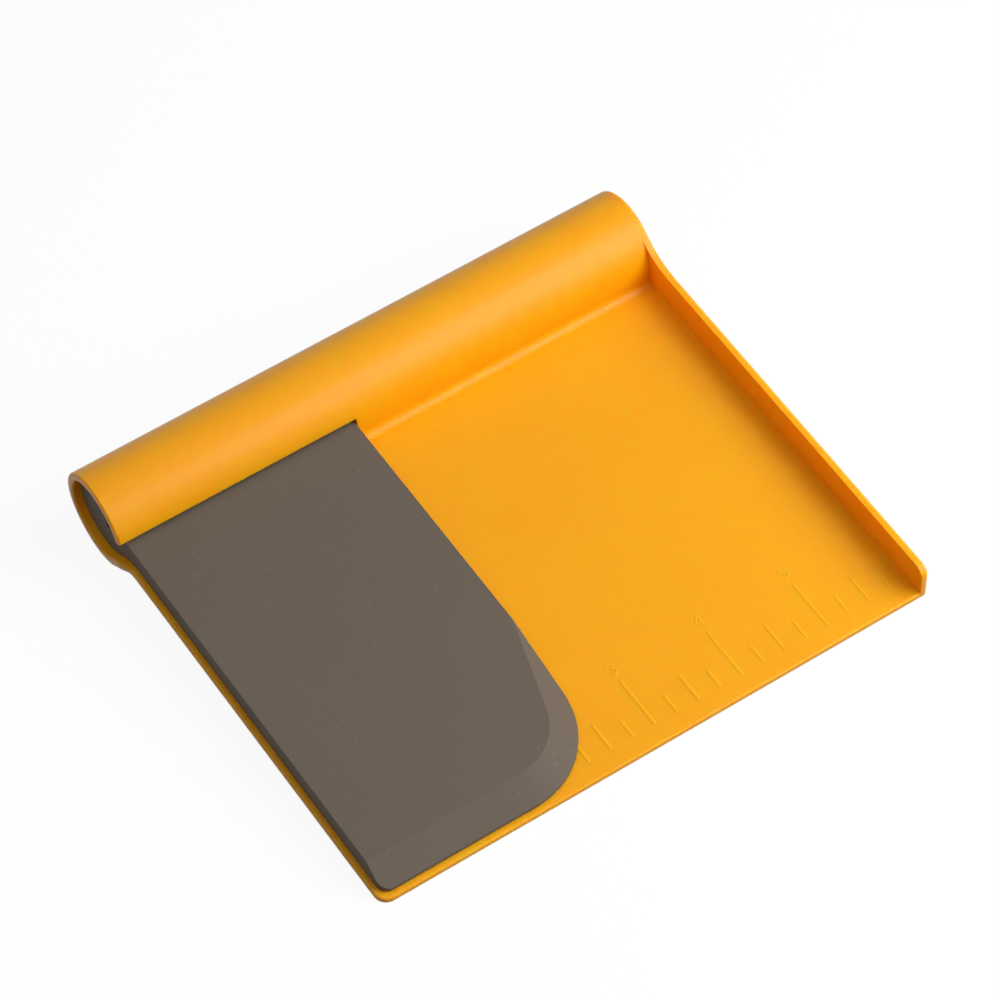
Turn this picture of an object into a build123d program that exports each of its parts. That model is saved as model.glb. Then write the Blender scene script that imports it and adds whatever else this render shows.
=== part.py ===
from build123d import *
from math import acos, asin, atan2, cos, degrees, hypot, isclose, sin, sqrt
import os

os.makedirs("parts", exist_ok=True)

# A bench scraper with a bowl scraper nested in it, in millimetres.
# It stands as it lies on a table, on its front edge and on the underside of its tube.
# The origin is on the table, in the middle of the width and depth.
# Sizes are taken along the plate: distance to the right of its left edge, setback to the rear
# of its front edge, height above its upper face.

# Bench scraper: plate and tube
plate_width = 158.2
plate_thick = 1.8
corner_radius = 3.5
tube_setback = 129.0
tube_height = 4.0
tube_radius = 13.1
tube_wall = 2.3
tube_reach = 0.9
underside_bend = 14.0
crease_radius = 2.2
step_radius = 7.5
step_setback = 113.5
rim_round = 0.6

# Bench scraper: right wall and slot
wall_height = 9.2
wall_thick = 2.1
wall_flare = 19.0
wall_corner = 3.2
wall_round = 1.1
slot_height = 7.5
slot_play = 0.3

# Bowl scraper: soft blade and root
slide_play = 0.3
blade_inset = 1.5
blade_width = 65.9
blade_setback = 1.7
blade_height = 6.3
blade_edge = 1.2
blade_bevel = 6.8
blade_corner = 23.0
blade_small_corner = 3.0
bevel_turn = 74.0
neck_round = 1.0
gate_radius = 0.8
gate_depth = 0.6
gate_forward = 2.4
gate_drop = 1.1

# Bowl scraper: stiff core
core_thick = 2.4
core_margin = 9.0
core_corner = 3.0
core_rod = 6.0

# How far cuts run past what they cut, and how near an edge must lie to the place asked for
overrun = 5.0
nearness = 0.01

# The plate leans by the angle at which its front edge and the tube both touch the table
axis_drop = tube_height + plate_thick
axis_reach = hypot(tube_setback, axis_drop)
lean = asin(tube_radius / axis_reach) - atan2(axis_drop, tube_setback)
total_width = plate_width + tube_reach
nose_height = plate_thick + wall_height - wall_corner
nose_reach = nose_height * sin(lean) + wall_corner * (1 - cos(lean))
total_depth = nose_reach + sqrt(axis_reach**2 - tube_radius**2) + tube_radius

bench = Plane(
    origin=(tube_reach - total_width / 2, nose_reach - total_depth / 2, 0),
    x_dir=(1, 0, 0),
    z_dir=(0, -sin(lean), cos(lean)),
)
deck = bench.offset(plate_thick)
deck_back = Axis((0, 0, 0), deck.y_dir)
deck_up = Axis((0, 0, 0), deck.z_dir)

tube_axis = (tube_setback, tube_height)
tube_top = tube_height + tube_radius
bore_radius = tube_radius - tube_wall
root_radius = bore_radius - slide_play
inner_bend = underside_bend + plate_thick
throat_setback = tube_setback - tube_radius - underside_bend
blade_right = blade_inset + blade_width


def section_at(distance):
    """Upright plane across the width, at a distance from the plate's left edge."""
    return Plane(deck.from_local_coords((distance, 0, 0)), x_dir=deck.y_dir, z_dir=deck.x_dir)


def edges_at(part, distance):
    """Edges of a part that lie in the upright plane at this distance."""
    place = section_at(distance).origin.X
    return part.edges().filter_by_position(Axis.X, place - nearness, place + nearness)


def edges_along_at(part, height):
    """Edges of a part that run along the width at this height above the plate."""
    return part.edges().filter_by(Axis.X).filter_by(
        lambda edge: isclose(deck.to_local_coords(edge @ 0).Z, height, abs_tol=nearness)
    )


def bend(level, radius, round_radius, side):
    """Arc that joins a level line to a round about the tube's axis, from above or below."""
    height = level + side * radius
    back = sqrt((round_radius + radius) ** 2 - (height - tube_height) ** 2)
    facing = degrees(atan2(tube_height - height, back))
    return CenterArc((tube_setback - back, height), radius, -side * 90, facing + side * 90)


def round_rear(start, end, radius):
    """Arc about the tube's axis, by the rear, between two points on that round."""
    return ThreePointArc(start, (tube_setback + radius, tube_height), end)


# Bench scraper body, one moulding
with BuildPart() as body:
    # Plate and tube, one section along the whole width
    with BuildSketch(section_at(-tube_reach)) as plate_section:
        with BuildLine():
            under = bend(-plate_thick, underside_bend, tube_radius, -1)
            crease = bend(0, crease_radius, tube_radius, 1)
            round_rear(under @ 1, crease @ 1, tube_radius)
            Polyline(under @ 0, (0, -plate_thick), (0, 0), crease @ 0)
        make_face()
    extrude(amount=total_width)

    # Right wall, with a round nose in front and a top line that flares up into the round of
    # the tube
    with BuildSketch(section_at(plate_width)) as wall_section:
        with BuildLine():
            flare = bend(wall_height, wall_flare, tube_radius, 1)
            Line(flare @ 0, (wall_corner, wall_height))
            CenterArc((wall_corner, wall_height - wall_corner), wall_corner, 90, 90)
            Polyline(
                (0, wall_height - wall_corner),
                (0, -plate_thick),
                (tube_setback, -plate_thick),
                tube_axis,
                flare @ 1,
            )
        make_face()
    extrude(amount=-wall_thick)

    # Bore, closed at the right by the wall
    with BuildSketch(section_at(-tube_reach)) as bore_section:
        with Locations(tube_axis):
            Circle(bore_radius)
    extrude(amount=total_width - wall_thick, mode=Mode.SUBTRACT)

    # Slot under the lip of the tube, where the plate dips down into the bore
    with BuildSketch(section_at(-tube_reach)) as slot_section:
        with BuildLine():
            dip = bend(0, inner_bend, bore_radius, -1)
            lip_back = sqrt(bore_radius**2 - (slot_height - tube_height) ** 2)
            lip = (tube_setback - lip_back, slot_height)
            round_rear(dip @ 1, lip, bore_radius)
            Polyline(lip, (throat_setback, slot_height), (throat_setback, 0), dip @ 0)
        make_face()
    extrude(amount=tube_reach + blade_right + slot_play, mode=Mode.SUBTRACT)

    # Left edge: the tube stands a little past the plate, which steps back in a double curve
    with BuildSketch(deck) as left_waste:
        with BuildLine():
            turn = degrees(acos(1 - tube_reach / (2 * step_radius)))
            step_in = CenterArc((-step_radius, step_setback), step_radius, 0, turn)
            step_out = CenterArc(
                step_in @ 1 + Vector(step_radius, 0).rotate(Axis.Z, turn),
                step_radius,
                180 + turn,
                -turn,
            )
            Polyline(
                step_out @ 1,
                step_out @ 1 - Vector(overrun, 0),
                (-tube_reach - overrun, -overrun),
                (corner_radius, -overrun),
                (corner_radius, 0),
            )
            CenterArc((corner_radius, corner_radius), corner_radius, 180, 90)
            Line((0, corner_radius), step_in @ 0)
        make_face()
    extrude(amount=tube_top + overrun, both=True, mode=Mode.SUBTRACT)

    # Rounded rims: the open end, the lip and the plate's left and front edges, then the outline
    # of the right end
    open_end = edges_at(body, -tube_reach).filter_by(GeomType.CIRCLE)
    fillet(
        open_end.sort_by(SortBy.LENGTH)[-2:] + edges_along_at(body, slot_height), rim_round
    )
    outer_edges = edges_at(body, plate_width)
    fillet(outer_edges.filter_by(deck_back).sort_by(Axis.Z)[-1], wall_round)

# Stiff core of the bowl scraper: a web in the blade and a rod in the root
with BuildPart() as core:
    web_height = (slide_play + blade_height - core_thick) / 2
    with BuildSketch(deck.offset(web_height)) as web_outline:
        with Locations((blade_inset + blade_width / 2, blade_setback + core_margin)):
            Rectangle(
                blade_width - 2 * core_margin,
                tube_setback - blade_setback - core_margin,
                align=(Align.CENTER, Align.MIN),
            )
        front_corners = web_outline.vertices().group_by(Axis.Y)[0].sort_by(Axis.X)
        fillet(front_corners[-1], blade_corner - core_margin)
        fillet(web_outline.vertices().group_by(Axis.Y)[0].sort_by(Axis.X)[0], core_corner)
    extrude(amount=core_thick)
    with BuildSketch(section_at(blade_inset + core_margin)) as rod_section:
        with Locations(tube_axis):
            Circle(core_rod)
    extrude(amount=blade_width - 2 * core_margin)

# Form that bevels the blade: it tapers upwards from the thin front edge and from the large
# corner, and its right side turns away from the blade, so that the bevel runs out there
with BuildPart() as bevel_form:
    taper_angle = degrees(atan2(blade_bevel, blade_height - blade_edge))
    with BuildSketch(deck.offset(blade_edge)) as bevel_outline:
        with BuildLine():
            corner_centre = (blade_right - blade_corner, blade_setback + blade_corner)
            sweep_arc = CenterArc(corner_centre, blade_corner, -90, bevel_turn)
            side = PolarLine(sweep_arc @ 1, 2 * tube_setback, bevel_turn)
            Polyline(
                sweep_arc @ 0,
                (blade_inset - 2 * blade_bevel, blade_setback),
                (blade_inset - 2 * blade_bevel, (side @ 1).Y),
                side @ 1,
            )
        make_face()
    extrude(amount=blade_height - blade_edge + neck_round, taper=taper_angle)
    extrude(bevel_outline.sketch, amount=-(blade_edge + tube_top))

# Soft part of the bowl scraper, moulded over its core
with BuildPart() as silicone:
    with BuildSketch(section_at(blade_inset)) as blade_section:
        with BuildLine():
            belly = bend(slide_play, inner_bend + slide_play, root_radius, -1)
            neck = bend(blade_height, neck_round, root_radius, 1)
            Polyline(belly @ 1, tube_axis, neck @ 1)
            Polyline(
                neck @ 0,
                (blade_setback, blade_height),
                (blade_setback, slide_play),
                belly @ 0,
            )
        make_face()
    extrude(amount=blade_width)
    with BuildSketch(deck) as blade_outline:
        with Locations((blade_inset, blade_setback)):
            Rectangle(blade_width, tube_setback, align=(Align.MIN, Align.MIN))
        fillet(
            blade_outline.vertices().group_by(Axis.Y)[0].sort_by(Axis.X)[-1], blade_corner
        )
        fillet(
            blade_outline.vertices().group_by(Axis.Y)[0].sort_by(Axis.X)[0],
            blade_small_corner,
        )
    extrude(amount=tube_top, both=True, mode=Mode.INTERSECT)
    add(bevel_form.part, mode=Mode.INTERSECT)
    with BuildSketch(section_at(blade_inset)) as root_section:
        with Locations(tube_axis):
            Circle(root_radius)
    extrude(amount=blade_width)
    with BuildSketch(section_at(blade_inset)) as gate_mark:
        with Locations((tube_setback - gate_forward, tube_height - gate_drop)):
            Circle(gate_radius)
    extrude(amount=gate_depth, mode=Mode.SUBTRACT)
    add(core.part, mode=Mode.SUBTRACT)

body.part.label = "bench_scraper_body"
silicone.part.label = "bowl_scraper_silicone"
core.part.label = "bowl_scraper_core"
for piece in (body, silicone, core):
    export_step(piece.part, f"parts/{piece.part.label}.step")
    print(piece.part.label, round(piece.part.volume), len(piece.part.solids()))
print("lean", round(degrees(lean), 3), "depth", round(total_depth, 2))
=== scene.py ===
from math import atan2, ceil, cos, hypot, pi, radians, sin, sqrt

import bmesh
import bpy
from mathutils import Matrix, Vector


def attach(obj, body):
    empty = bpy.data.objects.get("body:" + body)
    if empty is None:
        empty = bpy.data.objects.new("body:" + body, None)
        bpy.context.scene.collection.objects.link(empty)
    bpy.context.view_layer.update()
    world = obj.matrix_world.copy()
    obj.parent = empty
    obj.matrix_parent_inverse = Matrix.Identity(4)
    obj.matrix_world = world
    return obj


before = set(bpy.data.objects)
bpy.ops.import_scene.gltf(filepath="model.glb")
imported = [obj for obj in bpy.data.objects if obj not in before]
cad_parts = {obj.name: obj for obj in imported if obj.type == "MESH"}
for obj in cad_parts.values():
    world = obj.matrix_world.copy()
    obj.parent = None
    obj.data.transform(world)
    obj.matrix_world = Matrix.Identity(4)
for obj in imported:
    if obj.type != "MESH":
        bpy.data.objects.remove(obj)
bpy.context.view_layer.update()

MM = 0.001

# The plate of the bench scraper lies as in the part's source: the place of its lower front left
# corner and its lean. Places on it are given in millimetres: distance to the right of its left
# edge, setback behind its front edge, height above its upper face.
PLATE_LEAN = radians(3.248198)
PLATE_LEFT = -78.65
PLATE_FRONT = -70.5585
PLATE_THICK = 1.8


def on_plate(distance, setback, height):
    """Point of the object's frame, in metres, for a place on the plate."""
    rise = height + PLATE_THICK
    return Vector((
        PLATE_LEFT + distance,
        PLATE_FRONT + setback * cos(PLATE_LEAN) - rise * sin(PLATE_LEAN),
        setback * sin(PLATE_LEAN) + rise * cos(PLATE_LEAN),
    )) * MM


# Colours and nodes

def linear(hex_colour):
    """Linear colour with alpha from an sRGB hex value."""
    channels = [int(hex_colour[i:i + 2], 16) / 255 for i in (0, 2, 4)]
    return [c / 12.92 if c <= 0.04045 else ((c + 0.055) / 1.055) ** 2.4 for c in channels] + [1]


def add_node(tree, kind, sockets=None, **settings):
    """Adds a node with its settings. Each socket takes a value or another node's output."""
    node = tree.nodes.new(kind)
    for name, value in settings.items():
        setattr(node, name, value)
    for socket, value in (sockets or {}).items():
        if isinstance(value, bpy.types.NodeSocket):
            tree.links.new(value, node.inputs[socket])
        else:
            node.inputs[socket].default_value = value
    return node


def per_metre(size_mm):
    """Texture scale at which one feature of a pattern measures this many millimetres."""
    return 1 / (size_mm * MM)


def noise(tree, place, size_mm, **sockets):
    """Strength of an uneven pattern whose features measure about this many millimetres."""
    return add_node(tree, "ShaderNodeTexNoise", {
        "Vector": place, "Scale": per_metre(size_mm), **sockets}).outputs[0]


def spread(tree, value, span, made):
    """Value stretched from one span to another, and held within it."""
    return add_node(tree, "ShaderNodeMapRange", {
        "Value": value, "From Min": span[0], "From Max": span[1],
        "To Min": made[0], "To Max": made[1]}).outputs[0]


def blend(tree, share, first, second):
    """Colour that goes from the first to the second as the share goes from zero to one."""
    return add_node(tree, "ShaderNodeMix", {0: share, 6: first, 7: second},
                    data_type="RGBA").outputs[2]


def calculate(tree, operation, first, second):
    """Result of one sum on two values."""
    return add_node(tree, "ShaderNodeMath", {0: first, 1: second}, operation=operation).outputs[0]


def new_material(name):
    """Empty material, its node tree and the object's own coordinates in metres."""
    material = bpy.data.materials.new(name)
    material.use_nodes = True
    tree = material.node_tree
    tree.nodes.clear()
    place = add_node(tree, "ShaderNodeTexCoord").outputs["Object"]
    return material, tree, place


def finish_material(tree, shader):
    add_node(tree, "ShaderNodeOutputMaterial", {"Surface": shader.outputs[0]})


# Span that the noise of a grain mostly keeps to
GRAIN_SPAN = (0.3, 0.7)


# Polypropylene, injection moulded in a fine blasted mould: a deep orange with a satin sheen, a
# grain that only softens the highlight, and slow waves where the plate shrank as it cooled. Light
# goes a few millimetres into it, red the farthest, so that thin walls and corners look warm.
def moulded_polypropylene(name, depth):
    material, tree, place = new_material(name)
    clouds = noise(tree, place, 45, Detail=2.0, Roughness=0.5)
    tint = blend(tree, clouds, linear("FCA402"), linear("FEAC05"))
    grain = noise(tree, place, 0.35, Detail=3.0, Roughness=0.6)
    mottle = spread(tree, grain, GRAIN_SPAN, (0.0, 0.06))
    waves = noise(tree, place, 22, Detail=1.0)
    sunk = add_node(tree, "ShaderNodeBump", {
        "Height": waves, "Strength": 0.5, "Distance": 0.15 * MM})
    grained = add_node(tree, "ShaderNodeBump", {
        "Height": grain, "Normal": sunk.outputs[0], "Strength": 0.35, "Distance": 0.03 * MM})
    shader = add_node(tree, "ShaderNodeBsdfPrincipled", {
        "Base Color": blend(tree, mottle, tint, linear("E39100")),
        "Roughness": spread(tree, grain, GRAIN_SPAN, (0.36, 0.44)),
        "Normal": grained.outputs[0],
        "IOR": 1.49,
        "Specular IOR Level": 0.25,
        "Subsurface Weight": depth,
        "Subsurface Radius": (1.0, 0.22, 0.03),
        "Subsurface Scale": 3.0 * MM})
    finish_material(tree, shader)
    return material


# Filler specks of the silicone: one at most in each cell of this size, full within the first
# radius and faded out at the second, in shares of the cell. Half of the cells hold a pale one,
# and about one in seven a dark one.
SPECK_CELL = 2.6
SPECK_RADIUS_SHARES = (0.04, 0.11)
PALE_ABOVE_SHARE = 0.5
DARK_BELOW_SHARE = 0.15


# Silicone rubber, compression moulded and matt: grey brown, dry to the eye, with fine pale filler
# grains and dust that clings to it, and a few darker ones.
def moulded_silicone():
    material, tree, place = new_material("Silicone_moulded_matt")
    clouds = noise(tree, place, 30, Detail=2.0)
    tint = blend(tree, clouds, linear("63594E"), linear("675D53"))
    grain = noise(tree, place, 0.5, Detail=3.0, Roughness=0.7)
    mottle = spread(tree, grain, (0.35, 0.7), (0.0, 0.22))
    mottled = blend(tree, mottle, tint, linear("7A7066"))
    specks = add_node(tree, "ShaderNodeTexVoronoi", {
        "Vector": place, "Scale": per_metre(SPECK_CELL)})
    spot = spread(tree, specks.outputs["Distance"], SPECK_RADIUS_SHARES, (1.0, 0.0))
    chance = add_node(tree, "ShaderNodeSeparateColor", {0: specks.outputs["Color"]}).outputs[0]
    pale = calculate(tree, "GREATER_THAN", chance, PALE_ABOVE_SHARE)
    dark = calculate(tree, "LESS_THAN", chance, DARK_BELOW_SHARE)
    pale_spot = calculate(tree, "MULTIPLY", spot, pale)
    dark_spot = calculate(tree, "MULTIPLY", spot, dark)
    with_pale = blend(tree, pale_spot, mottled, linear("7D736A"))
    soft = add_node(tree, "ShaderNodeBump", {
        "Height": grain, "Strength": 0.4, "Distance": 0.05 * MM})
    shader = add_node(tree, "ShaderNodeBsdfPrincipled", {
        "Base Color": blend(tree, dark_spot, with_pale, linear("544A40")),
        "Roughness": spread(tree, grain, GRAIN_SPAN, (0.58, 0.7)),
        "Normal": soft.outputs[0],
        "IOR": 1.41,
        "Specular IOR Level": 0.15})
    finish_material(tree, shader)
    return material


# Glass filled nylon, moulded: the stiff core, a dull dark brown with a fibrous grain. It is
# covered by the silicone on every side.
def filled_nylon():
    material, tree, place = new_material("Nylon_glass_filled")
    fibres = noise(tree, place, 0.8, Detail=4.0, Distortion=1.5)
    shader = add_node(tree, "ShaderNodeBsdfPrincipled", {
        "Base Color": blend(tree, fibres, linear("3A332D"), linear("4A423A")),
        "Roughness": spread(tree, fibres, (0.0, 1.0), (0.5, 0.65)),
        "IOR": 1.53})
    finish_material(tree, shader)
    return material


def dress(thing, material):
    """Gives an object this one material."""
    thing.data.materials.clear()
    thing.data.materials.append(material)


# The ridges are thinner than the light's reach, so no light is sent through them
orange_plastic = moulded_polypropylene("Polypropylene_moulded_satin", 0.8)
ridge_plastic = moulded_polypropylene("Polypropylene_moulded_ridges", 0.0)
grey_silicone = moulded_silicone()
dress(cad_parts["bench_scraper_body"], orange_plastic)
dress(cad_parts["bowl_scraper_silicone"], grey_silicone)
dress(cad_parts["bowl_scraper_core"], filled_nylon())

# Inch ruler, raised on the plate where the mould is engraved with a ball cutter: quarter, half and
# inch lines, and a figure behind each inch line. Sizes are in millimetres. The ridges start a
# little under the plate's face, and a line is cut into short steps, each with a half round ring.
INCH = 25.4
RULER_ZERO = 5.1
LINE_START = 5.15
INCH_LINE = 15.15
HALF_LINE = 8.75
QUARTER_LINE = 6.24
LINE_WIDTH = 0.9
LINE_HEIGHT = 0.11
LAST_QUARTER = 23
FIGURE_SETBACK = 24.0
FIGURE_WIDTH = 2.2
FIGURE_TALL = 3.4
FIGURE_STROKE = 0.6
SUNK = 0.1
STEP = 0.12
RING_PARTS = 10
ARC_PARTS = 14
LEAST_END_SHARE = 0.02


def arc(centre, radii, start, end):
    """Points of an arc of an ellipse, by angles in degrees."""
    angles = [radians(start + (end - start) * i / ARC_PARTS) for i in range(ARC_PARTS + 1)]
    return [(centre[0] + radii[0] * cos(a), centre[1] + radii[1] * sin(a)) for a in angles]


# Strokes of each figure, as shares of its width and height about its middle
FIGURE_SHARES = {
    1: [[(-0.28, 0.28), (0.08, 0.5)], [(0.08, 0.5), (0.08, -0.5)]],
    2: [arc((0, 0.22), (0.44, 0.28), 170, -35), [(0.36, 0.06), (-0.45, -0.5)],
        [(-0.45, -0.5), (0.47, -0.5)]],
    3: [arc((-0.02, 0.25), (0.42, 0.25), 150, -90), arc((-0.02, -0.25), (0.46, 0.25), 90, -155)],
    4: [[(0.2, -0.5), (0.2, 0.5)], [(0.2, 0.5), (-0.5, -0.22)], [(-0.5, -0.22), (0.5, -0.22)]],
    5: [[(0.4, 0.5), (-0.34, 0.5)], [(-0.34, 0.5), (-0.42, 0.03)],
        arc((-0.02, -0.18), (0.47, 0.32), 145, -150)],
}


def evenly(points):
    """The same line with points every short step."""
    made = [points[0]]
    for (x0, y0), (x1, y1) in zip(points, points[1:]):
        count = max(1, ceil(hypot(x1 - x0, y1 - y0) / STEP))
        made += [(x0 + (x1 - x0) * i / count, y0 + (y1 - y0) * i / count)
                 for i in range(1, count + 1)]
    return made


def raise_line(mesh, points, width):
    """Adds a low rounded ridge along a line on the plate, with round ends."""
    line = evenly(points)
    run = [0.0]
    for (x0, y0), (x1, y1) in zip(line, line[1:]):
        run.append(run[-1] + hypot(x1 - x0, y1 - y0))
    rings = []
    for i, (x, y) in enumerate(line):
        before, after = line[max(i - 1, 0)], line[min(i + 1, len(line) - 1)]
        heading = atan2(after[1] - before[1], after[0] - before[0])
        inward = min(run[i], run[-1] - run[i]) / (width / 2)
        share = sqrt(max(1 - (1 - min(inward, 1)) ** 2, LEAST_END_SHARE))
        ring = []
        for k in range(RING_PARTS + 1):
            turn = pi * k / RING_PARTS
            across = width / 2 * share * cos(turn)
            place = on_plate(
                x - across * sin(heading),
                y + across * cos(heading),
                LINE_HEIGHT * share * sin(turn),
            )
            ring.append(mesh.verts.new(place))
        for side in (-1, 1):
            ring.append(mesh.verts.new(on_plate(
                x - side * width / 2 * share * sin(heading),
                y + side * width / 2 * share * cos(heading),
                -SUNK,
            )))
        rings.append(ring)
    for one, other in zip(rings, rings[1:]):
        for k in range(len(one)):
            follow = (k + 1) % len(one)
            mesh.faces.new((one[k], one[follow], other[follow], other[k]))
    mesh.faces.new(rings[0])
    mesh.faces.new(rings[-1][::-1])


def raised_piece(name, lines, width):
    """Piece made of raised lines, riding on the bench scraper."""
    mesh = bmesh.new()
    for points in lines:
        raise_line(mesh, points, width)
    bmesh.ops.recalc_face_normals(mesh, faces=mesh.faces)
    data = bpy.data.meshes.new(name)
    mesh.to_mesh(data)
    mesh.free()
    for face in data.polygons:
        face.use_smooth = True
    piece = bpy.data.objects.new(name, data)
    bpy.context.scene.collection.objects.link(piece)
    dress(piece, ridge_plastic)
    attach(piece, "bench_scraper")


ruler_lines = []
for quarter in range(LAST_QUARTER + 1):
    if quarter % 4 == 0:
        length = INCH_LINE
    elif quarter % 2 == 0:
        length = HALF_LINE
    else:
        length = QUARTER_LINE
    distance = RULER_ZERO + quarter * INCH / 4
    ruler_lines.append([(distance, LINE_START), (distance, LINE_START + length)])
raised_piece("ruler_lines", ruler_lines, LINE_WIDTH)

for number, strokes in FIGURE_SHARES.items():
    middle = RULER_ZERO + number * INCH
    lines = [
        [(middle + x * FIGURE_WIDTH, FIGURE_SETBACK + y * FIGURE_TALL) for x, y in stroke]
        for stroke in strokes
    ]
    raised_piece(f"ruler_figure_{number}", lines, FIGURE_STROKE)

# Floor, half its width in metres. What the camera sees of it is white, with this share of the
# object's shadow left on it. To the light that lands on it, it is a mid grey.
SHADOW_SHARE = 0.08
FLOOR_HALF = 4.0
WHITE = linear("FFFFFF")


def white_to_camera(tree):
    """One for rays of the camera, reflections and transmission, else zero."""
    path = add_node(tree, "ShaderNodeLightPath").outputs
    direct = calculate(tree, "MAXIMUM", path["Is Camera Ray"], path["Is Glossy Ray"])
    return calculate(tree, "MAXIMUM", direct, path["Is Transmission Ray"])


floor_data = bpy.data.meshes.new("floor")
floor_data.from_pydata(
    [(x * FLOOR_HALF, y * FLOOR_HALF, 0) for x, y in ((-1, -1), (1, -1), (1, 1), (-1, 1))],
    [], [(0, 1, 2, 3)])
floor = bpy.data.objects.new("floor", floor_data)
bpy.context.scene.collection.objects.link(floor)
floor_material, floor_tree, _ = new_material("Paper_matt_white")
seen = white_to_camera(floor_tree)
paper = add_node(floor_tree, "ShaderNodeBsdfDiffuse", {
    "Color": blend(floor_tree, seen, linear("8C8C8C"), WHITE)})
glow = add_node(floor_tree, "ShaderNodeEmission", {"Color": WHITE, "Strength": 1.0})
finish_material(floor_tree, add_node(floor_tree, "ShaderNodeMixShader", {
    0: calculate(floor_tree, "MULTIPLY", seen, 1 - SHADOW_SHARE),
    1: paper.outputs[0],
    2: glow.outputs[0]}))
dress(floor, floor_material)

# World: soft light of this strength from all round, white where it is seen
AMBIENT = 0.12
world = bpy.data.worlds.new("studio")
bpy.context.scene.world = world
world.use_nodes = True
world.node_tree.nodes.clear()
ambient = add_node(world.node_tree, "ShaderNodeBackground", {
    "Color": WHITE, "Strength": AMBIENT})
white = add_node(world.node_tree, "ShaderNodeBackground", {"Color": WHITE, "Strength": 1.0})
both = add_node(world.node_tree, "ShaderNodeMixShader", {
    0: white_to_camera(world.node_tree), 1: ambient.outputs[0], 2: white.outputs[0]})
add_node(world.node_tree, "ShaderNodeOutputWorld", {"Surface": both.outputs[0]})


def soft_lamp(name, azimuth, elevation, distance, size, power):
    """Square soft box that faces the object. Azimuth 0 is in front of it, 90 to its right.

    Angles are in degrees, distance and size in metres, power in watts.
    """
    a, e = radians(azimuth), radians(elevation)
    towards = Vector((sin(a) * cos(e), -cos(a) * cos(e), sin(e)))
    data = bpy.data.lights.new(name, "AREA")
    data.shape = "SQUARE"
    data.size = size
    data.energy = power
    lamp = bpy.data.objects.new(name, data)
    lamp.location = towards * distance
    lamp.rotation_mode = "QUATERNION"
    lamp.rotation_quaternion = towards.to_track_quat("Z", "Y")
    lamp.visible_camera = False
    bpy.context.scene.collection.objects.link(lamp)


# The key lamp lights the blade's bevel, the other one the shade beside the right wall
soft_lamp("key_lamp", azimuth=52, elevation=40, distance=0.7, size=0.6, power=6.4)
soft_lamp("top_lamp", azimuth=-100, elevation=70, distance=0.8, size=0.7, power=1.4)

# Camera of the photograph, from its fit to the ruler, the plate and the tube: its place in
# metres, the directions to its right, up and back, and its lens in millimetres
CAMERA_PLACE = (-0.35284126, -0.61065313, 0.92794672)
CAMERA_RIGHT = (0.83352623, -0.55068773, -0.04446406)
CAMERA_UP = (0.45805086, 0.64382041, 0.61293123)
CAMERA_BACK = (-0.30890683, -0.53126106, 0.78888418)
SENSOR_WIDTH = 36.0
LENS = 170.0414
camera_data = bpy.data.cameras.new("photo_camera")
camera_data.sensor_width = SENSOR_WIDTH
camera_data.lens = LENS
camera = bpy.data.objects.new("photo_camera", camera_data)
turn = Matrix((CAMERA_RIGHT, CAMERA_UP, CAMERA_BACK)).transposed().to_4x4()
camera.matrix_world = Matrix.Translation(CAMERA_PLACE) @ turn
bpy.context.scene.collection.objects.link(camera)
bpy.context.scene.camera = camera

bpy.context.scene.view_settings.view_transform = "Standard"
